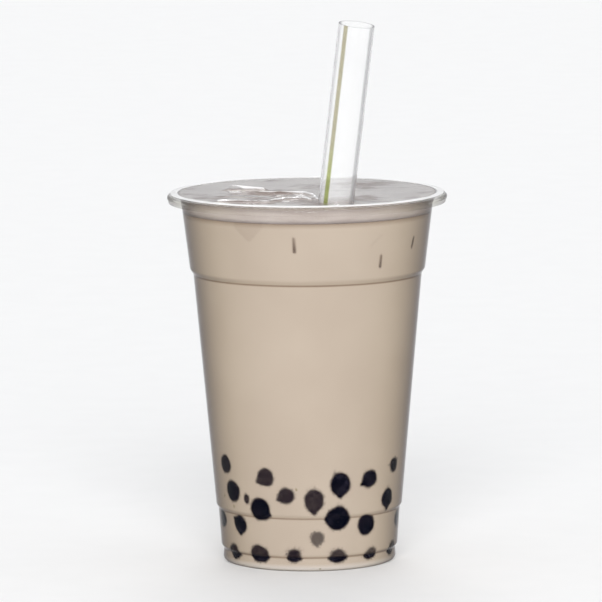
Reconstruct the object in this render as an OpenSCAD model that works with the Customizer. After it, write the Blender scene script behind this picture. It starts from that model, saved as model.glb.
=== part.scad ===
// Milk tea with tapioca pearls in a clear, thin-walled, film-sealed cup, with a wide straw.
// The origin is the centre of the circle the cup stands on. +Z is up and -Y is the front.

/* [Cup] */
// Height from the table to the sealing face of the rim
cup_h = 125.4; // [100:0.1:155]
// Outer diameter of the neck, just under the rim
neck_d = 85.4; // [70:0.1:105]
// Thickness of the formed wall
wall = 0.45; // [0.3:0.05:0.8]
// How far the rim stands out from the neck
rim_w = 4.8; // [3.8:0.1:6]
// Height of the rim, down to the edge of its skirt
rim_h = 3; // [2.4:0.1:4]
// Thickness of the rim's sheet
rim_t = 0.5; // [0.3:0.05:0.6]
// Radius of the bend from the neck out into the sealing face
mouth_r = 1.7; // [1.2:0.1:2]
// Width of the rim's rounded outer edge
edge_w = 2; // [1.6:0.1:2.5]
// How far the rounded outer edge drops
edge_h = 1.4; // [1:0.1:1.8]
// How far the skirt tucks in under the edge
skirt_tuck = 0.5; // [0.2:0.1:0.8]

/* [Bands of the wall] */
// Depth of the upper step below the sealing face
upper_step_depth = 25; // [20:0.1:30]
// How far the upper step goes in
upper_step = 1.25; // [1:0.05:1.5]
// Height that the upper step takes
upper_step_h = 2.8; // [2.2:0.1:3.4]
// Slope of the wall above the upper step, in degrees
top_taper = 7.1; // [5.5:0.1:8.6]
// Slope of the wall between the steps, in degrees
main_taper = 5.2; // [4:0.1:6.3]
// Top of the lower step above the table
lower_step_z = 19.8; // [16:0.1:24]
// How far the lower step goes in
lower_step = 0.8; // [0.6:0.05:1]
// Height that the lower step takes
lower_step_h = 2; // [1.6:0.1:2.4]
// Slope of the wall below the lower step, in degrees
low_taper = 4.1; // [3.3:0.1:5]
// Top of the heel step above the table
heel_z = 5.9; // [5:0.1:7.1]
// How far the heel step goes in
heel_step = 0.85; // [0.7:0.05:1.05]
// Height that the heel step takes
heel_step_h = 1.8; // [1.5:0.1:2.2]

/* [Foot] */
// How far the foot flares out below the heel step
foot_flare = 0.2; // [0.1:0.05:0.4]
// Radius of the foot's rounded corner
foot_r = 1.5; // [1.2:0.1:1.9]
// Width of the ring that the cup stands on
ring_w = 2.4; // [1.8:0.1:3]
// Height of the raised base panel above the table
panel_z = 1.8; // [1.4:0.1:2.4]
// How far in the panel starts from the ring
panel_in = 1; // [0.7:0.1:1.3]

/* [Contents] */
// Depth of the tea below the sealing face
level_depth = 6.1; // [5:0.1:9]
// Gap between the froth and the film above it
froth_gap = 0.1; // [0.05:0.05:0.3]
// Gap between the contents and what they lie against
wet_gap = 0.05; // [0.02:0.01:0.1]

/* [Film] */
// Thickness of the sealing film
film_t = 0.1; // [0.05:0.05:0.3]
// How far the film's edge lies inside the rim's edge
film_inset = 1.2; // [0.8:0.1:1.6]
// Gap between the film and the straw that pierces it
film_gap = 0.3; // [0.1:0.05:0.6]

/* [Straw] */
// Outer diameter of the straw
straw_d = 12; // [9:0.1:14.4]
// Wall thickness of the straw
straw_wall = 0.45; // [0.3:0.05:0.6]
// Length of straw that stands out above the film
straw_above = 61; // [50:0.5:75]
// Gap between the straw and the neck's wall where it goes in
straw_neck_gap = 1.15; // [0.8:0.05:2]
// Direction of the point where the straw goes in, in degrees from the right
straw_neck_turn = -74.2; // [-90:0.1:-60]
// Gap between the straw and the heel's wall at its foot
straw_foot_gap = 0.3; // [0.2:0.05:1]
// Direction of the straw's foot, in degrees from the right
straw_foot_turn = -103.5; // [-120:0.1:-90]
// Gap between the straw's tip and the cup's floor
straw_tip_gap = 0.4; // [0.2:0.05:1]
// Angle of the straw's slanting tip, measured from its axis, in degrees
straw_tip = 50; // [40:1:65]

/* [Hidden] */
$fn = 96;

// Heights and radii that follow along the wall, from the rim down to the table
neck_z = cup_h - rim_h;
neck_r = neck_d / 2;
rim_r = neck_r + rim_w;
upper_z = cup_h - upper_step_depth;
upper_r = neck_r - (neck_z - upper_z) * tan(top_taper);
main_z = upper_z - upper_step_h;
lower_r = upper_r - upper_step - (main_z - lower_step_z) * tan(main_taper);
low_z = lower_step_z - lower_step_h;
heel_r = lower_r - lower_step - (low_z - heel_z) * tan(low_taper);
corner_r = heel_r - heel_step + foot_flare - foot_r;
floor_z = panel_z + wall;
level_z = cup_h - level_depth;

// Inner radius of the neck where the bend into the sealing face begins
bend_z = cup_h - mouth_r;
bend_r = neck_r - wall + (bend_z - neck_z) * tan(top_taper);

STEP_CUTS = 8;
ARC_CUTS = 6;

function flip(points) = [for (i = [len(points) - 1 : -1 : 0]) points[i]];

function ellipse_arc(x, z, a, b, from, to) = [
    for (i = [0 : ARC_CUTS])
        let (t = from + (to - from) * i / ARC_CUTS)
        [x + a * cos(t), z + b * sin(t)]
];

// A soft step inwards, going down from its top
function soft_step(r, z, in, drop) = [
    for (i = [0 : STEP_CUTS])
        [r - in * (1 - cos(180 * i / STEP_CUTS)) / 2, z - drop * i / STEP_CUTS]
];

// The wall and floor from the neck down to the axis, moved g into the cup
function body(g) = concat(
    [[neck_r - g, neck_z]],
    soft_step(upper_r - g, upper_z, upper_step, upper_step_h),
    soft_step(lower_r - g, lower_step_z, lower_step, lower_step_h),
    soft_step(heel_r - g, heel_z, heel_step, heel_step_h),
    ellipse_arc(corner_r, foot_r, foot_r - g, foot_r - g, 0, -90),
    [
        [corner_r - ring_w + g / 2, g],
        [corner_r - ring_w - panel_in + g / 2, panel_z + g],
        [0, panel_z + g]
    ]
);

// The bend from the neck into the sealing face, the face's rounded edge and its skirt, moved g
// down into the sheet
function rim(g) = concat(
    ellipse_arc(bend_r + mouth_r, bend_z, mouth_r - g, mouth_r - g, 180, 90),
    ellipse_arc(rim_r - edge_w, cup_h - edge_h, edge_w - g, edge_h - g, 90, 0),
    [[rim_r - skirt_tuck - g, neck_z]]
);

// Radius of the wall at a height, moved g into the cup
function radius_at(z, g) = lookup(z, [for (p = flip(body(g))) if (p[0] > corner_r) [p[1], p[0]]]);

function polar(r, turn, z) = [r * cos(turn), r * sin(turn), z];

// The straw's axis runs from its foot, through the point where it meets the film, to its mouth
straw_r = straw_d / 2;
straw_entry = polar(neck_r - wall - straw_neck_gap - straw_r, straw_neck_turn, cup_h);
straw_heel_r = heel_r - heel_step - wall - straw_foot_gap - straw_r;
straw_heel = polar(straw_heel_r, straw_foot_turn, floor_z + straw_tip_gap);
straw_run = straw_entry - straw_heel;
straw_in = norm(straw_run);
straw_lean = acos(straw_run[2] / straw_in);
straw_turn = atan2(straw_run[1], straw_run[0]);
// Distances along the axis from the heel point, which is level with the tip
straw_start = -straw_r * tan(straw_lean);
straw_end = straw_in + straw_above;

// Puts a shape that stands on the origin onto the straw's axis
module on_straw() {
    translate(straw_heel) rotate([0, straw_lean, straw_turn]) children();
}

// A rod along the straw's axis, with its seam a quarter turn from the way the straw leans
module straw_rod(r, start = straw_start, end = straw_end) {
    on_straw() rotate([0, 0, 90]) translate([0, 0, start]) cylinder(r = r, h = end - start);
}

// The part of space that the slanting cut takes off the straw's foot
module straw_slant(lower = 0) {
    size = 4 * straw_d;
    on_straw() translate([-straw_r, 0, straw_start - lower]) rotate([0, straw_tip - 90, 0])
        translate([-size / 2, -size / 2, -size]) cube(size);
}

// The straw's tube, with its surfaces moved out by grow
module straw_tube(grow = 0) {
    difference() {
        straw_rod(straw_r + grow, straw_start - grow);
        straw_rod(straw_r - straw_wall - grow, straw_start - straw_d, straw_end + straw_d);
        straw_slant(grow);
    }
}

module cup() {
    color([0.92, 0.94, 0.96, 0.35]) rotate_extrude()
        polygon(concat(body(0), flip(body(wall)), rim(0), flip(rim(rim_t))));
}

module drink() {
    g = wall + wet_gap;
    color([0.82, 0.76, 0.69]) difference() {
        rotate_extrude() polygon(concat(
            [[0, level_z], [radius_at(level_z, g), level_z]],
            [for (p = body(g)) if (p[1] < level_z) p]
        ));
        straw_tube(wet_gap);
    }
}

module froth() {
    g = wall + wet_gap;
    bottom_z = level_z + wet_gap;
    top_z = cup_h - froth_gap;
    bend = mouth_r + wet_gap;
    color([0.8, 0.77, 0.74]) difference() {
        rotate_extrude() polygon(concat(
            [[0, bottom_z], [radius_at(level_z, g), bottom_z], [neck_r - g, neck_z]],
            ellipse_arc(bend_r + mouth_r, bend_z, bend, bend, 180, 180 - asin((top_z - bend_z) / bend)),
            [[0, top_z]]
        ));
        straw_rod(straw_r + wet_gap);
    }
}

module film() {
    color([0.95, 0.96, 0.97, 0.3]) difference() {
        translate([0, 0, cup_h]) cylinder(r = rim_r - film_inset, h = film_t);
        straw_rod(straw_r + film_gap);
    }
}

module straw() {
    color([0.9, 0.94, 0.88, 0.5]) straw_tube();
}

cup();
drink();
froth();
film();
straw();
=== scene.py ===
"""Milk tea with tapioca pearls in a clear, film-sealed cup, with a wide clear straw."""

import math
import random

import bmesh
import bpy
from mathutils import Matrix, Vector, noise
from mathutils.bvhtree import BVHTree


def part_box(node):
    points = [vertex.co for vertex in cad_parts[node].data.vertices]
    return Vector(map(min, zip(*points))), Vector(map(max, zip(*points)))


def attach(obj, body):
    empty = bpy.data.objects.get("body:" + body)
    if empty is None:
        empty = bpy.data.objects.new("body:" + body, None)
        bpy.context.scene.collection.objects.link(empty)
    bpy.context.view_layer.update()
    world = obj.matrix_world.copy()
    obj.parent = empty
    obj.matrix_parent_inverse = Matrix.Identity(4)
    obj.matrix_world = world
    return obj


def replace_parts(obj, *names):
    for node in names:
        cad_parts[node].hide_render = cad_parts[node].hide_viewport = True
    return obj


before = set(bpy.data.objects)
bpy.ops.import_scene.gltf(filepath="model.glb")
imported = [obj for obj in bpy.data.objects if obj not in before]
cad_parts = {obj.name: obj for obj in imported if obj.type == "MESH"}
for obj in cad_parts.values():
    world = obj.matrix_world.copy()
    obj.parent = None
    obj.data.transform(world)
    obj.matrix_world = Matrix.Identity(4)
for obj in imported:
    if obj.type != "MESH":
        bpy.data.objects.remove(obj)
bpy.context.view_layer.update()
MM = 0.001


# ---------------------------------------------------------------------------------------------
# The studio: a pale matt floor that runs out of view, a broad soft light from the front, fainter
# ones overhead and behind, and a grey sky, seen through a long lens from a little above the rim.

class Value:
    """A shader socket that takes part in sums, so that a pattern reads as a formula."""

    def __init__(self, finish, socket):
        self.finish = finish
        self.socket = socket

    def maths(self, operation, *others):
        """A Math node on this value and the others, which may be plain numbers."""
        sockets = dict(enumerate((self,) + others))
        return self.finish.node("Math", {"operation": operation}, sockets)

    def __add__(self, other):
        return self.maths("ADD", other)

    def __sub__(self, other):
        return self.maths("SUBTRACT", other)

    def __mul__(self, other):
        return self.maths("MULTIPLY", other)

    def __pow__(self, other):
        return self.maths("POWER", other)

    __radd__ = __add__
    __rmul__ = __mul__

    def __rsub__(self, other):
        return (self * -1) + other

    def ramp(self, start, end, low=0.0, high=1.0):
        """Goes smoothly from low, at start, to high, at end."""
        settings = {"interpolation_type": "SMOOTHSTEP"}
        return self.finish.node("MapRange", settings, {0: self, 1: start, 2: end, 3: low, 4: high})

    def line(self, middle, core, edge):
        """1 within core of a middle value, falling to 0 at edge."""
        return (self - middle).maths("ABSOLUTE").ramp(core, edge, 1.0, 0.0)


class Finish:
    """One material. node() adds any shader node: its type, its settings, then its sockets."""

    def __init__(self, name):
        self.material = bpy.data.materials.new(name)
        self.material.use_nodes = True
        self.tree = self.material.node_tree
        self.tree.nodes.clear()

    def node(self, kind, settings=None, sockets=None, out=0):
        made = self.tree.nodes.new("ShaderNode" + kind)
        for name, setting in (settings or {}).items():
            setattr(made, name, setting)
        for name, value in (sockets or {}).items():
            if isinstance(value, Value):
                self.tree.links.new(value.socket, made.inputs[name])
            else:
                made.inputs[name].default_value = value
        return Value(self, made.outputs[out])

    def place(self):
        """Where a point is in the shared frame, in metres."""
        return self.node("TexCoord", out=3)

    def axes(self):
        """The same as x, y and z."""
        parts = self.node("SeparateXYZ", None, {0: self.place()})
        return [Value(self, socket) for socket in parts.socket.node.outputs]

    def from_axis(self):
        """Distance from the cup's axis."""
        x, y, _ = self.axes()
        return (x * x + y * y) ** 0.5

    def stored(self, layer):
        """What a mesh carries under a name, from 0 to 1 at each point."""
        return self.node("Attribute", {"attribute_name": layer}, out=2)

    def speckle(self, scale, detail=2.0, roughness=0.5, place=None):
        """Soft noise from 0 to 1, with scale spots to the metre."""
        sockets = {"Scale": scale, "Detail": detail, "Roughness": roughness}
        return self.node("TexNoise", None, {"Vector": place or self.place(), **sockets})

    def blend(self, mask, below, above):
        """Two colours, with the second one where the mask is 1."""
        return self.node("Mix", {"data_type": "RGBA"}, {0: mask, 6: below, 7: above}, out=2)

    def relief(self, height, depth, strength=1.0):
        """A bumpy surface, with depth in metres."""
        return self.node("Bump", None, {"Strength": strength, "Distance": depth, "Height": height})

    def skin(self, **sockets):
        """A surface by its sockets, with an underscore for each space in their names."""
        named = {name.replace("_", " "): value for name, value in sockets.items()}
        return self.node("BsdfPrincipled", None, named)

    def mixed(self, mask, below, above):
        """Two skins, with the second one where the mask is 1."""
        return self.node("MixShader", None, {0: mask, 1: below, 2: above})

    def lit_through(self, clear, tint):
        """Clear plastic that lets the lamps light what stands behind it."""
        open_air = self.node("BsdfTransparent", None, {"Color": tint})
        ray = self.node("LightPath")
        lamp_ray = Value(self, ray.socket.node.outputs["Is Shadow Ray"])
        bounce = Value(self, ray.socket.node.outputs["Is Diffuse Ray"])
        return self.mixed(lamp_ray.maths("MAXIMUM", bounce), clear, open_air)

    def done(self, surface):
        """The finished material."""
        end = self.tree.nodes.new("ShaderNodeOutputMaterial")
        self.tree.links.new(surface.socket, end.inputs["Surface"])
        return self.material


def grey(level):
    return (level, level, level, 1.0)


floor_mesh = bpy.data.meshes.new("studio_floor")
shape = bmesh.new()
bmesh.ops.create_grid(shape, x_segments=2, y_segments=2, size=12.0)
shape.to_mesh(floor_mesh)
shape.free()
floor = bpy.data.objects.new("studio_floor", floor_mesh)
bpy.context.collection.objects.link(floor)
paper = Finish("pale paper")
fibre = paper.speckle(60.0, detail=4.0)
floor_mesh.materials.append(paper.done(paper.skin(
    Base_Color=paper.blend(fibre, grey(0.85), grey(0.88)),
    Roughness=0.9,
    Specular_IOR_Level=0.1,
)))

world = bpy.data.worlds.new("studio sky")
world.use_nodes = True
sky = world.node_tree
backdrop = sky.nodes["Background"]
backdrop.inputs["Color"].default_value = (0.97, 0.98, 1.0, 1.0)
way_up = sky.nodes.new("ShaderNodeSeparateXYZ")
paling = sky.nodes.new("ShaderNodeMapRange")
sky.links.new(sky.nodes.new("ShaderNodeTexCoord").outputs["Generated"], way_up.inputs[0])
sky.links.new(way_up.outputs["Z"], paling.inputs["Value"])
for name, value in (("From Min", 0.1), ("From Max", 0.6), ("To Min", 0.66), ("To Max", 0.42)):
    paling.inputs[name].default_value = value
sky.links.new(paling.outputs["Result"], backdrop.inputs["Strength"])
bpy.context.scene.world = world
bpy.context.scene.view_settings.view_transform = "Standard"


def soft_light(name, source, spread, strength):
    """A broad even light from a far source, spread over some degrees of the sky."""
    light = bpy.data.lights.new(name, "SUN")
    light.angle = math.radians(spread)
    light.energy = strength
    holder = bpy.data.objects.new(name, light)
    holder.rotation_euler = Vector(source).to_track_quat("Z", "Y").to_euler()
    bpy.context.collection.objects.link(holder)


soft_light("front", (0.0, -1.0, 0.42), 36.0, 2.5)
soft_light("overhead", (0.1, 0.15, 1.0), 60.0, 0.5)
soft_light("behind", (0.0, 0.8, 1.0), 32.0, 0.75)

CAMERA_AWAY = 2.3
CAMERA_UP = 0.3806
AIM = Vector((-0.0023, 0.0, 0.0883))
ROLL = math.radians(0.41)
lens = bpy.data.cameras.new("long lens")
lens.sensor_width = 36.0
lens.lens = 408.6
lens.clip_end = 50.0
camera = bpy.data.objects.new("camera", lens)
camera.location = (AIM.x, -CAMERA_AWAY, CAMERA_UP)
look = (AIM - camera.location).to_track_quat("-Z", "Y").to_matrix()
camera.rotation_euler = (look @ Matrix.Rotation(-ROLL, 3, "Z")).to_euler()
bpy.context.collection.objects.link(camera)
bpy.context.scene.camera = camera


# ---------------------------------------------------------------------------------------------
# The cup: clear polypropylene sheet, drawn hot into a mould, which leaves a hair of haze and
# fine upright draw lines in a glossy wall.

def clear_sheet(finish, clear_tint, askew_shade_tint, edge_shade_tint, ior):
    """Clear sheet, drawn out along Z. Inside the rim, and at the rim's very edge, it is painted darker as
    it is seen more and more edge on, first towards its askew tint and then its edge tint: painted shade
    for the dark edges of a clear wall."""
    radius = finish.from_axis()
    shaded_zone = radius.ramp(45.0 * MM, 43.2 * MM) + radius.ramp(46.5 * MM, 47.1 * MM) * 0.8
    drawn = finish.node("Mapping", None, {"Vector": finish.place(), "Scale": (1.0, 1.0, 0.05)})
    draw_lines = finish.speckle(900.0, detail=1.0, place=drawn)
    haze = finish.speckle(70.0)
    edge_on = finish.node("LayerWeight", None, {"Blend": 0.5}, out=1)
    # painted shade: darker tints as the sheet turns edge on
    tint = finish.blend(edge_on.ramp(0.0, 0.5) * shaded_zone, clear_tint, askew_shade_tint)
    tint = finish.blend(edge_on.ramp(0.26, 0.88) * shaded_zone, tint, edge_shade_tint)
    return finish.skin(
        Base_Color=tint,
        Roughness=haze.ramp(0.3, 0.7, 0.02, 0.04),
        IOR=ior,
        Transmission_Weight=1.0,
        Normal=finish.relief(draw_lines, 0.01 * MM, 0.4),
    )


def refinish(node, material):
    """Gives a CAD piece its finish."""
    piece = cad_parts[node]
    piece.data.materials.clear()
    piece.data.materials.append(material)


CUP_TINT = (0.985, 0.985, 0.98, 1.0)
wall = Finish("clear cup wall")
# the wall takes a dark painted shade towards its edges
wall_sheet = clear_sheet(
    wall, CUP_TINT, askew_shade_tint=(0.86, 0.84, 0.75, 1.0), edge_shade_tint=(0.04, 0.026, 0.034, 1.0), ior=1.12,
)
refinish("cup", wall.done(wall.lit_through(wall_sheet, CUP_TINT)))


# ---------------------------------------------------------------------------------------------
# The tapioca pearls: soft black balls of boiled starch that have sunk to the bottom. Where they
# press on the wall or the floor they go flat, and no two have the same size or outline.

FULL_RING = 60  # more points than this at one radius and height make a full ring


def rings_of(node):
    """Radius and height of every full ring of points on a turned CAD piece, from the top down."""
    count = {}
    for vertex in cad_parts[node].data.vertices:
        key = (round(math.hypot(vertex.co.x, vertex.co.y), 5), round(vertex.co.z, 5))
        count[key] = count.get(key, 0) + 1
    full = [key for key, points in count.items() if points > FULL_RING]
    return sorted(full, key=lambda ring: -ring[1])


def grown(outline, by):
    """An outline in (radius, height), moved outwards from the liquid by a distance."""
    moved = []
    for index, (radius, height) in enumerate(outline):
        before = outline[max(index - 1, 0)]
        after = outline[min(index + 1, len(outline) - 1)]
        along = Vector((after[0] - before[0], after[1] - before[1])).normalized()
        moved.append((radius - along.y * by, height + along.x * by))
    return moved


GRIP = 0.25 * MM  # how far what fills the cup reaches into its wall
HEEL = 4.9 * MM  # height of the ledge over the foot
STANDING_RING = 26.5 * MM  # radius that parts the tea's wall from the panel in the foot
tea_rings = rings_of("drink")
tea_level = tea_rings[0][1]
down_the_wall = [ring for ring in tea_rings if ring[0] > STANDING_RING]
up_the_panel = sorted((ring for ring in tea_rings if ring[0] < STANDING_RING), key=lambda ring: ring[1])
panel_top = up_the_panel[-1][1]
tea_outline = grown(down_the_wall + up_the_panel + [(0.0, panel_top)], GRIP)
wall_line = tea_outline[:len(down_the_wall)]


def wall_radius(z):
    """Radius of the tea's outside at a height, and a little way above it."""
    for high, low in zip(wall_line, wall_line[1:]):
        if z >= low[1]:
            break
    share = (z - low[1]) / max(high[1] - low[1], 1e-9)
    return low[0] + (high[0] - low[0]) * min(share, 2.0)


def polar(radius, turn, z):
    """A point by its radius, its turn from +X in degrees and its height."""
    return Vector((radius * math.cos(math.radians(turn)), radius * math.sin(math.radians(turn)), z))


def held_in(point, cover):
    """A point, drawn in towards the axis until tea as thick as its cover, in mm, is outside it. Where
    the cover is less than nothing, the point may stand that far out of the tea, in the wall."""
    reach = math.hypot(point.x, point.y)
    limit = wall_radius(point.z) - cover * MM
    if reach > limit:
        point.x *= limit / reach
        point.y *= limit / reach
    return point


def finished(shape, name, material):
    """Makes a smooth piece of a bmesh, with its faces outwards, on the cup's body."""
    bmesh.ops.recalc_face_normals(shape, faces=shape.faces)
    mesh = bpy.data.meshes.new(name)
    shape.to_mesh(mesh)
    shape.free()
    mesh.shade_smooth()
    mesh.materials.append(material)
    piece = bpy.data.objects.new(name, mesh)
    bpy.context.collection.objects.link(piece)
    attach(piece, "root")
    return piece


pearls = bmesh.new()
pearl_spots = []


def drop_pearl(turn, height, radius, press, tall=1.0, tips=(), cover=-0.07, over_heel=None):
    """One pearl in mm. It goes past the wall by its press and is cut back there. It has tips at clock
    hours on its face, and tea as thick as its cover outside it, or as over_heel above the heel."""
    radius *= MM
    height *= MM
    away = wall_radius(height) - radius + press * MM
    middle = polar(away, turn, height)
    out = polar(1.0, turn, 0.0)
    side = Vector((-out.y, out.x, 0.0))
    chance = Vector((turn * 0.37, height * 900.0, radius * 900.0))
    ball = bmesh.ops.create_icosphere(pearls, subdivisions=4, radius=1.0)
    for vertex in ball["verts"]:  # slow swellings, with finer lumps on them
        way = vertex.co.copy()
        size = 1.0 + 0.07 * noise.noise(way * 1.3 + chance) + 0.025 * noise.noise(way * 4.0 + chance)
        for hour in tips:  # a broad swelling with a small point on it
            angle = math.radians(90.0 - hour * 30.0)
            tip = side * math.cos(angle) + Vector((0.0, 0.0, math.sin(angle))) + out * 0.62
            near = max(way.dot(tip.normalized()), 0.0)
            size += 0.09 * near ** 30 + 0.16 * near ** 160
        point = middle + Vector((way.x, way.y, way.z * tall)) * radius * size
        point.z = max(point.z, panel_top - 0.05 * MM)
        above_heel = over_heel is not None and point.z > HEEL
        vertex.co = held_in(point, over_heel if above_heel else cover)
    pearl_spots.append((middle, radius))


# those at the front, each by its turn, height, radius and press, and then, where it has them, by
# how tall it is, its tips, its cover and its cover over the heel
drop_pearl(-149, 35.5, 3.7, 0.95, 1.1, (), 0.0)
drop_pearl(-143.5, 26.6, 4.3, 1.3, 1.05, (), -0.03)
drop_pearl(-117, 32.6, 3.8, 0.9, 1.08, (8,), 0.03)
drop_pearl(-122, 21.6, 4.4, 1.4, 1.08, (4,))
drop_pearl(-104, 26.6, 3.5, 0.85, 1.05, (8,), 0.05)
drop_pearl(-87, 25.2, 4.2, 1.1, 1.25, (12, 6), 0.02)
drop_pearl(-71, 30.2, 4.3, 1.3, 1.12, (11, 6))
drop_pearl(-72, 18.8, 4.8, 1.6, 1.1, (12,))
drop_pearl(-51, 31.2, 3.8, 1.1, 1.02, (8,))
drop_pearl(-51, 15.6, 4.2, 1.3, 1.1)
drop_pearl(-34, 23.5, 3.8, 1.1, 1.08, (12, 6))
drop_pearl(-29, 34.7, 3.2, 0.6, 1.1, (2, 9), 0.0)
drop_pearl(-163, 15.5, 3.9, 1.0)
drop_pearl(-140, 15.1, 3.6, 1.2, 1.05, (6, 10))
drop_pearl(-124.5, 6.0, 4.7, 0.85, 0.9, (), -0.07, 0.03)
drop_pearl(-149, 5.4, 4.1, 0.6, 0.9, (11,), -0.07, 0.06)
drop_pearl(-100, 6.0, 3.9, 0.35, 0.88, (10, 11, 12, 1, 2), -0.07, 0.0)
drop_pearl(-85, 11.7, 3.0, 0.5, 1.1, (6,), 0.19)
drop_pearl(-71, 5.7, 4.7, 0.45, 0.82, (12,), -0.07, 0.1)
drop_pearl(-46, 5.4, 4.1, 0.4, 0.8, (), -0.07, 0.14)
drop_pearl(-20, 5.6, 3.9, 0.6, 0.9, (1,), -0.07, 0.1)
drop_pearl(-131.6, 24.4, 1.1, 0.35, 1.5, (6,), 0.05)
drop_pearl(-13, 15.0, 3.6, 0.8)


def is_free(spot, radius):
    """Whether a ball at a spot keeps clear of every pearl so far."""
    return all((spot - other).length > radius + size for other, size in pearl_spots)


# the rest, scattered in the same way round the back and over the floor
ROUND_THE_WALL = 52  # pearls in all, before those on the floor
SQUEEZE = 0.97  # share of their size that neighbours keep clear
FLOOR_REACH = 21.0 * MM
dice = random.Random(7)
for attempt in range(900):
    size = dice.uniform(3.5, 4.6)
    turn = dice.uniform(-5.0, 185.0)
    height = 4.8 + 32.0 * dice.random() ** 1.4
    press = dice.uniform(0.7, 1.4)
    spot = polar(wall_radius(height * MM) - (size - press) * MM, turn, height * MM)
    if len(pearl_spots) < ROUND_THE_WALL and is_free(spot, size * SQUEEZE * MM):
        cover = dice.choice((-0.07, -0.07, 0.02, 0.05))
        drop_pearl(turn, height, size, press, dice.uniform(0.95, 1.15), (dice.randrange(12),), cover)
for attempt in range(600):
    size = dice.uniform(3.2, 4.2)
    from_middle = FLOOR_REACH * math.sqrt(dice.random())
    spot = polar(from_middle, dice.uniform(0.0, 360.0), panel_top + 0.75 * size * MM)
    if is_free(spot, size * SQUEEZE * MM):
        turn = math.degrees(math.atan2(spot.y, spot.x))
        inset = wall_radius(spot.z) - math.hypot(spot.x, spot.y)
        drop_pearl(turn, spot.z / MM, size, size - inset / MM)

starch = Finish("boiled tapioca")
mottle = starch.speckle(420.0, detail=3.0)
depth = starch.speckle(150.0)
tone = starch.blend(depth.ramp(0.35, 0.7), (0.0015, 0.002, 0.006, 1.0), (0.006, 0.005, 0.010, 1.0))
tapioca = starch.done(starch.skin(
    Base_Color=starch.blend(mottle.ramp(0.5, 0.75) * 0.7, tone, (0.020, 0.018, 0.030, 1.0)),
    Roughness=mottle.ramp(0.3, 0.7, 0.25, 0.5),
    Specular_IOR_Level=0.0,
    Normal=starch.relief(mottle, 0.0002, 0.5),
))
pearl_touch = BVHTree.FromBMesh(pearls)
finished(pearls, "tapioca_pearls", tapioca)


# ---------------------------------------------------------------------------------------------
# The ice: a few small clear lumps with rounded edges that float just under the froth. They show
# only where an edge or a corner comes up against the wall.

ice = bmesh.new()


def drop_ice(turn, height, size, inset, twist, lean, nod=7.1, cover=-0.03):
    """One lump in mm and degrees: its middle is inset from the wall, and it is twisted about Z,
    nodded outwards, leaned sideways and covered by tea."""
    lump = bmesh.new()
    bmesh.ops.create_cube(lump, size=size * MM)
    edges = lump.edges[:]
    rounding = size * 0.13 * MM
    bmesh.ops.bevel(
        lump, geom=edges, offset=rounding, segments=4, profile=0.5, affect="EDGES", material=-1,
    )
    bmesh.ops.subdivide_edges(lump, edges=lump.edges[:], cuts=2, use_grid_fill=True)
    place = polar(wall_radius(height * MM) - inset * MM, turn, height * MM)
    turned = Matrix.Rotation(math.radians(twist + turn), 4, "Z")
    leaned = Matrix.Rotation(math.radians(lean), 4, polar(1.0, turn, 0.0))
    sloped = Matrix.Rotation(math.radians(nod), 4, polar(1.0, turn + 90.0, 0.0))
    for vertex in lump.verts:
        point = leaned @ sloped @ turned @ vertex.co
        point *= 1.0 + 0.04 * noise.noise(point * 130.0 + place * 90.0)
        vertex.co = held_in(point + place, cover)
    bmesh.ops.recalc_face_normals(lump, faces=lump.faces)
    whole = bpy.data.meshes.new("lump")
    lump.to_mesh(whole)
    lump.free()
    ice.from_mesh(whole)
    bpy.data.meshes.remove(whole)


# each by its turn, height, size, inset, twist and lean, and then its nod and its cover
drop_ice(-96.3, 112.6, 6.0, 3.87, 45.0, 2.0, 5.5)
drop_ice(-52.8, 106.0, 5.6, 3.6, 45.0, -2.0, 6.5)
drop_ice(-30.5, 111.0, 4.6, 2.93, 45.0, -14.0, 5.0)
drop_ice(-118.5, 118.6, 8.5, 4.1, 0.0, 45.0, 7.1, 0.28)
drop_ice(-55.5, 113.3, 7.0, 4.6, 45.0, -50.0, 7.1, 0.32)
drop_ice(25.0, 112.0, 13.0, 8.8, 45.0, 6.0)
drop_ice(70.0, 115.0, 14.0, 9.5, 40.0, -30.0)
drop_ice(118.0, 110.0, 13.0, 8.8, 45.0, -5.0)
drop_ice(160.0, 115.5, 12.0, 6.2, 0.0, 45.0, 7.1, 0.28)

frozen = Finish("ice")
bubbles = frozen.speckle(300.0)
clear_ice = frozen.skin(
    Base_Color=frozen.blend(bubbles.ramp(0.4, 0.7), (0.62, 0.52, 0.45, 1.0), (0.8, 0.74, 0.68, 1.0)),
    Roughness=bubbles.ramp(0.3, 0.7, 0.08, 0.2),
    IOR=1.31,
    Transmission_Weight=0.9,
    Normal=frozen.relief(bubbles, 0.0003, 0.4),
)
ice_touch = BVHTree.FromBMesh(ice)
finished(ice, "ice_lumps", frozen.done(clear_ice))


# ---------------------------------------------------------------------------------------------
# The milk tea, an opaque warm beige, which wets the wall right up to the froth. A pearl or a lump
# of ice close behind it shows as a soft dark patch, darker the thinner the tea over it is.

PEARLS_TO = 43.0 * MM
ICE_FROM = 99.0 * MM


def row_gap(height):
    """Rows are closest together where pearls show, close where ice does, and wider between them."""
    if height < PEARLS_TO:
        return 0.55 * MM
    return 1.1 * MM if height > ICE_FROM else 2.5 * MM


tea_rows = [tea_outline[0]]
for (start_r, start_z), (end_r, end_z) in zip(tea_outline, tea_outline[1:]):
    length = math.hypot(end_r - start_r, end_z - start_z)
    pieces = max(round(length / row_gap(0.5 * (start_z + end_z))), 1)
    for step in range(1, pieces + 1):
        share = step / pieces
        tea_rows.append((start_r + (end_r - start_r) * share, start_z + (end_z - start_z) * share))


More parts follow.
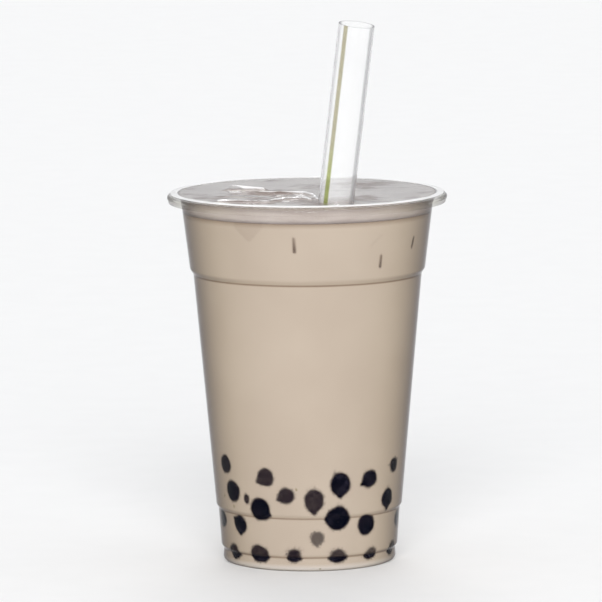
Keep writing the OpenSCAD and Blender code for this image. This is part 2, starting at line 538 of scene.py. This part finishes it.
def turned_piece(rows, steps):
    """A closed bmesh spun round the Z axis from an outline that starts and ends on it."""
    shape = bmesh.new()
    points = [shape.verts.new((radius, 0.0, height)) for radius, height in rows]
    edges = [shape.edges.new(pair) for pair in zip(points, points[1:])]
    bmesh.ops.spin(
        shape, geom=points + edges, cent=(0, 0, 0), axis=(0, 0, 1),
        angle=math.tau, steps=steps, use_merge=True,
    )
    bmesh.ops.remove_doubles(shape, verts=shape.verts, dist=1e-6)
    return shape


tea_top = [(0.0, tea_level), (0.5 * tea_rows[0][0], tea_level)]
tea = turned_piece(tea_top + tea_rows, steps=384)
CLOUDED = 0.55 * MM  # tea this thick hides about two thirds of what is behind it


def veil(name, touch):
    """Stores how much of a thing behind the tea shows through it at each point, from 0 to 1."""
    layer = tea.verts.layers.float.new(name)
    for vertex in tea.verts:
        gap = touch.find_nearest(vertex.co, 6.0 * CLOUDED)[3]
        vertex[layer] = 0.0 if gap is None else math.exp(-gap / CLOUDED)


veil("pearl_veil", pearl_touch)
veil("ice_veil", ice_touch)

brew = Finish("milk tea")
x, y, height = brew.axes()
cloud = brew.speckle(28.0, detail=3.0)
tone = brew.blend(cloud.ramp(0.3, 0.7), (0.425, 0.352, 0.286, 1.0), (0.455, 0.380, 0.311, 1.0))

# paler at the foot, where light comes up from the floor
foot_glow = height.ramp(2.8 * MM, 0.6 * MM) * 0.7
tone = brew.blend(foot_glow, tone, (0.60, 0.57, 0.55, 1.0))

# painted shade: darker in the corners of the wall's steps, and in a line along the wall just under the
# froth
painted_step_shade = (
    height.line(98.1 * MM, 0.0, 0.6 * MM) * 0.75
    + height.line(18.2 * MM, 0.0, 0.55 * MM) * 0.6
    + height.line(4.75 * MM, 0.0, 0.55 * MM) * 0.55
)
at_wall = (x * x + y * y).ramp((38.0 * MM) ** 2, (40.0 * MM) ** 2)
painted_level_shade = height.ramp(tea_level - 2.0 * MM, tea_level) * at_wall * 0.5
tone = brew.blend(painted_step_shade + painted_level_shade, tone, (0.18, 0.115, 0.075, 1.0))

# olive specks low down, and then the ice and the pearls behind, with a ragged outline
specks = brew.speckle(260.0, detail=1.0).ramp(0.755, 0.8) * height.ramp(35.0 * MM, 28.0 * MM)
tone = brew.blend(specks * 0.7, tone, (0.16, 0.13, 0.04, 1.0))
ice_shade = brew.stored("ice_veil")
tone = brew.blend(ice_shade.ramp(0.35, 1.0) ** 1.6 * 0.75, tone, (0.11, 0.07, 0.055, 1.0))
pearl_shade = brew.stored("pearl_veil")
ragged = brew.speckle(1700.0, detail=2.0, roughness=0.7)
fringe = pearl_shade.ramp(0.05, 0.3) * pearl_shade.ramp(0.62, 0.48)
seen = (pearl_shade + (ragged - 0.5) * 1.3 * fringe).ramp(0.2, 0.9)
curds = brew.speckle(750.0, detail=3.0).ramp(0.35, 0.7, 0.985, 0.94)
tone = brew.blend(seen * curds, tone, (0.012, 0.007, 0.012, 1.0))

milk_tea = brew.done(brew.skin(
    Base_Color=tone,
    Roughness=cloud.ramp(0.2, 0.8, 0.3, 0.4),
    Specular_IOR_Level=0.0,
))
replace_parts(finished(tea, "milk_tea", milk_tea), "drink")


# ---------------------------------------------------------------------------------------------
# The froth: a few millimetres of fine bubbles that rise to the top of shaken tea and fill the
# last space under the film, which presses it nearly flat.

def out_to(radius, height, gap):
    """Rows in (radius, height) on a level top, one every gap from the axis out to past a radius."""
    rows = [(0.0, height)]
    while rows[-1][0] < radius:
        rows.append((rows[-1][0] + gap, height))
    return rows


froth_rings = rings_of("froth")
froth_edge, froth_top = froth_rings[0]
froth_base = froth_rings[-1][1]
froth_side = grown([(0.0, froth_top)] + froth_rings, GRIP)[1:]
foot_radius = froth_side[-1][0]
froth_rows = out_to(froth_edge - 1.0 * MM, froth_top, 0.8 * MM) + froth_side[:-1]
froth_rows += [(foot_radius, froth_base), (0.5 * foot_radius, froth_base), (0.0, froth_base)]
froth = turned_piece(froth_rows, steps=320)
for vertex in froth.verts:
    if vertex.co.z > froth_top - 0.05 * MM and math.hypot(vertex.co.x, vertex.co.y) < 43.0 * MM:
        vertex.co.z -= (0.12 + 0.12 * noise.noise(vertex.co * 90.0)) * MM

foam = Finish("froth")
fine = foam.speckle(900.0, detail=4.0)
patch = foam.speckle(55.0, detail=4.0)
layered = foam.node("Mapping", None, {"Vector": foam.place(), "Scale": (1.0, 1.0, 9.0)})
streak = foam.speckle(60.0, detail=3.0, place=layered)
bubble = foam.node("TexVoronoi", None, {"Vector": foam.place(), "Scale": 700.0})
height = foam.axes()[2]
on_top = height.ramp(froth_top - 1.6 * MM, froth_top - 0.4 * MM)
tone = foam.blend(streak.ramp(0.3, 0.7), (0.43, 0.37, 0.335, 1.0), (0.53, 0.47, 0.435, 1.0))

# from above, wet patches where it has sunk away from the film, and the outlines of bubbles
tone = foam.blend(patch.ramp(0.4, 0.66) * on_top * 0.7, tone, (0.17, 0.12, 0.105, 1.0))
tone = foam.blend(bubble.ramp(0.3, 0.6) * on_top * 0.45, tone, (0.22, 0.17, 0.145, 1.0))

# painted shade on the side: darker than the top all over, and more so towards the tea and under the rim
# towards the film
shade_towards_tea = height.ramp(tea_level + 1.5 * MM, tea_level) * 0.4
shade_towards_film = height.ramp(froth_top - 3.0 * MM, froth_top - 1.4 * MM) * 0.45
painted_side_shade = (shade_towards_tea + shade_towards_film + 0.22) * (1.0 - on_top)
tone = foam.blend(painted_side_shade, tone, (0.22, 0.18, 0.175, 1.0))

froth_look = foam.done(foam.skin(
    Base_Color=tone,
    Roughness=fine.ramp(0.3, 0.7, 0.45, 0.6),
    Specular_IOR_Level=0.3,
    Normal=foam.relief(fine * 0.5 + bubble * 0.5, 0.0003, 0.5),
))
froth_piece = finished(froth, "froth_layer", froth_look)
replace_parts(froth_piece, "froth")


# ---------------------------------------------------------------------------------------------
# The film: thin clear sheet, heat-sealed to the flat of the rim. The straw's point has stretched it,
# so it is puckered round the hole and stands up in sharp folds over a pocket of air.

film_low, film_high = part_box("film")
film_edge = rings_of("film")[0][0]
STRAW_FOOT = Vector((-5.22, -21.76, 2.65)) * MM
STRAW_AT_RIM = Vector((9.56, -33.77, 125.4)) * MM
straw_way = (STRAW_AT_RIM - STRAW_FOOT).normalized()
FILM_HOLE = 6.2 * MM  # radius, a little wider than the straw's
COLLAR = 0.45 * MM  # height of the sheet that the straw has drawn up round its hole
COLLAR_REACH = 1.6 * MM
RIPPLE = 0.10 * MM  # height of the faint waves between the folds
STRAY = 0.6 * MM  # how far a fold wanders from its way
SEAL = 43.8 * MM  # inside this radius the film is free to lift
BEAD = 0.28 * MM  # height of the ridge that the sealing press leaves just outside it
BEAD_HALF = 0.9 * MM
CREASED = 0.45 * MM  # folds higher than this get a painted highlight along their crests

FOLDS = [
    # height at either end and half width in mm, then the way each runs over the rim's plane, in mm
    (2.1, 1.0, 2.8, ((-27, 7), (-20, 6), (-13, 4))),
    (1.1, 0.7, 1.3, ((-19, -4), (-12, -5), (-0.7, -5.5), (2.0, -13), (3.0, -22), (4, -30))),
    (1.1, 0.8, 1.5, ((-32, -29), (-20, -31), (-11, -31.5))),
    (1.2, 0.9, 1.4, ((-13, -32), (-9, -25), (-2.4, -22), (2.5, -27))),
    (0.5, 0.4, 1.2, ((-12, -13), (-5, -14), (1, -18))),
    (0.3, 0.4, 1.3, ((-31, -12), (-24, -14), (-14, -17))),
    (0.35, 0.45, 1.3, ((16, -41), (26, -35), (36, -25))),
]
PUCKERS = 22  # small folds that run outwards from the hole, kept where they end inside the seal
PUCKER_START = 6.0
PUCKERS_WITHIN = 43.0
dice = random.Random(3)
for pucker in range(PUCKERS):
    turn = pucker * 360.0 / PUCKERS + dice.uniform(-7.0, 7.0)
    reach = dice.uniform(9.0, 18.0)
    start = STRAW_AT_RIM / MM + polar(PUCKER_START, turn, 0.0)
    end = STRAW_AT_RIM / MM + polar(PUCKER_START + reach, turn + dice.uniform(-9.0, 9.0), 0.0)
    if end.xy.length < PUCKERS_WITHIN:
        FOLDS.append((dice.uniform(0.15, 0.4), 0.1, 1.3, ((start.x, start.y), (end.x, end.y))))

fold_parts = []
for first, last, half, way in FOLDS:
    points = [Vector((x, y, 0.0)) * MM for x, y in way]
    for index, (start, end) in enumerate(zip(points, points[1:])):
        fold_parts.append((start, end, first * MM, last * MM, half * MM, index, len(points) - 1))


def lifted(x, y):
    """How far the film stands up at a point of the rim's plane, and how near that is to a fold's crest."""
    flat = Vector((x, y, 0.0))
    aside = flat * 150.0 + Vector((5.0, 5.0, 5.0))
    stray = Vector((noise.noise(flat * 150.0), noise.noise(aside), 0.0))
    bent = flat + stray * STRAY
    lift = 0.0
    crest = 0.0
    for start, end, first, last, half, index, count in fold_parts:
        line = end - start
        share = min(max((bent - start).dot(line) / line.length_squared, 0.0), 1.0)
        away = (bent - start - line * share).length / half
        if away < 1.0:
            run = (index + share) / count
            taper = min(run * 6.0 + 0.3, (1.0 - run) * 6.0 + 0.2, 1.0)
            lift = max(lift, (first + (last - first) * run) * taper * (1.0 - away) ** 1.3)
            if first > CREASED:
                crest = max(crest, (1.0 - away) * taper * (0.8 + 0.5 * noise.noise(flat * 240.0)))
    from_hole = max(math.hypot(x - STRAW_AT_RIM.x, y - STRAW_AT_RIM.y) - FILM_HOLE, 0.0)
    lift = max(lift, COLLAR * math.exp(-from_hole / COLLAR_REACH))
    lift += RIPPLE * max(noise.noise(flat * 90.0), 0.0)
    lift *= min(max((SEAL - flat.length) / (2.0 * MM), 0.0), 1.0)
    bead = max(1.0 - ((flat.length - SEAL) / BEAD_HALF - 1.0) ** 2, 0.0)
    return lift + BEAD * bead, crest


film_rows = out_to(film_edge - 0.6 * MM, film_high.z, 0.5 * MM)
film_rows.append((film_edge, film_high.z))
film_rows += [(radius, film_low.z) for radius, _ in reversed(film_rows)]
film = turned_piece(film_rows, steps=360)
fold_crest = film.verts.layers.float.new("fold_crest")
lifts = {}
for vertex in film.verts:
    spot = (round(vertex.co.x, 6), round(vertex.co.y, 6))
    if spot not in lifts:
        lifts[spot] = lifted(*spot)
    lift, vertex[fold_crest] = lifts[spot]
    vertex.co.z += lift + 0.03 * MM


def drilled(piece, radius):
    """Cuts the straw's slanting hole through a piece."""
    drill_shape = bmesh.new()
    slant = straw_way.to_track_quat("Z", "Y").to_matrix().to_4x4()
    bmesh.ops.create_cone(
        drill_shape, cap_ends=True, segments=96, radius1=radius, radius2=radius, depth=30.0 * MM,
        matrix=Matrix.Translation(STRAW_AT_RIM) @ slant,
    )
    drill_mesh = bpy.data.meshes.new("drill")
    drill_shape.to_mesh(drill_mesh)
    drill_shape.free()
    drill = bpy.data.objects.new("drill", drill_mesh)
    bpy.context.collection.objects.link(drill)
    cut = piece.modifiers.new("cut", "BOOLEAN")
    cut.object = drill
    cut.operation = "DIFFERENCE"
    cut.solver = "EXACT"
    bpy.context.view_layer.update()
    whole = bpy.data.meshes.new_from_object(piece.evaluated_get(bpy.context.evaluated_depsgraph_get()))
    piece.modifiers.clear()
    old = piece.data
    piece.data = whole
    bpy.data.meshes.remove(old)
    whole.name = piece.name
    whole.shade_smooth()
    bpy.data.objects.remove(drill)
    bpy.data.meshes.remove(drill_mesh)


drilled(froth_piece, 6.05 * MM)

FILM_TINT = grey(0.985)
sheet = Finish("clear sealing film")
radius = sheet.from_axis()
film_sheet = clear_sheet(sheet, FILM_TINT, askew_shade_tint=grey(0.98), edge_shade_tint=grey(0.98), ior=1.22)

# dabs of froth cling to its underside
dregs = sheet.skin(Base_Color=(0.2, 0.15, 0.13, 1.0), Roughness=0.4, Specular_IOR_Level=0.3)
dabbed = sheet.speckle(60.0, detail=5.0).ramp(0.44, 0.68) * radius.ramp(43.4 * MM, 41.0 * MM)
film_sheet = sheet.mixed(dabbed * 0.5, film_sheet, dregs)

# painted light: white where it is sealed on, for the bright backdrop seen through the clear flange, and a
# painted highlight along the crests of the sharpest folds
white = sheet.skin(Base_Color=grey(0.88), Roughness=0.4, Specular_IOR_Level=0.3)
uneven = sheet.speckle(70.0).ramp(0.2, 0.8) * 0.4 + 0.8
seal_ring_painted_light = radius.ramp(43.7 * MM, 44.4 * MM) * uneven * 0.7
crest_painted_highlight = sheet.stored("fold_crest").ramp(0.42, 0.68) * 0.55
film_sheet = sheet.mixed(seal_ring_painted_light.maths("MAXIMUM", crest_painted_highlight), film_sheet, white)

film_look = sheet.done(sheet.lit_through(film_sheet, FILM_TINT))
film_piece = finished(film, "sealing_film", film_look)
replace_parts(film_piece, "film")
drilled(film_piece, FILM_HOLE)


# ---------------------------------------------------------------------------------------------
# The straw: wide clear tube with one narrow olive stripe run along it, cut off square at the top.

tube = Finish("clear straw")
x, y, z = tube.axes()

# distances from the straw's own slanting axis
slope = straw_way / straw_way.z
at_floor = STRAW_AT_RIM - slope * STRAW_AT_RIM.z
across = x - at_floor.x - z * slope.x
deep = y - at_floor.y - z * slope.y
on_front = deep.ramp(0.0, -1.0 * MM)

# the stripe, greener towards the film, and on the other side a thin grey band, a painted reflection
stripe = across.line(-3.5 * MM, 0.45 * MM, 0.85 * MM) * on_front
olive = tube.blend(z.ramp(0.15, 0.13), (0.52, 0.49, 0.35, 1.0), (0.46, 0.52, 0.18, 1.0))
shade = across.line(5.0 * MM, 0.3 * MM, 0.9 * MM) * on_front
# painted shade: the tube darkens towards its edges as it is seen edge on
edge_on = tube.node("LayerWeight", None, {"Blend": 0.5}, out=1)
tint = tube.blend(edge_on.ramp(0.4, 0.9), grey(0.99), (0.4, 0.4, 0.42, 1.0))
tint = tube.blend(shade * 0.75, tint, (0.5, 0.5, 0.51, 1.0))
tint = tube.blend(stripe, tint, olive)

wave = tube.speckle(60.0, detail=1.0)
bright = tube.skin(
    Base_Color=tint,
    Roughness=wave.ramp(0.3, 0.7, 0.015, 0.03),
    IOR=1.45,
    Transmission_Weight=1.0,
    Normal=tube.relief(wave, 0.1 * MM, 0.3),
)

# a thin haze, stronger towards the film
hazy = tube.skin(Base_Color=tube.blend(stripe, grey(0.9), olive), Roughness=0.4)
haze = wave.ramp(0.3, 0.7, 0.10, 0.2) * z.ramp(0.145, 0.12, 0.4, 1.0)
straw_shader = tube.lit_through(tube.mixed(haze, bright, hazy), grey(0.97))
refinish("straw", tube.done(straw_shader))
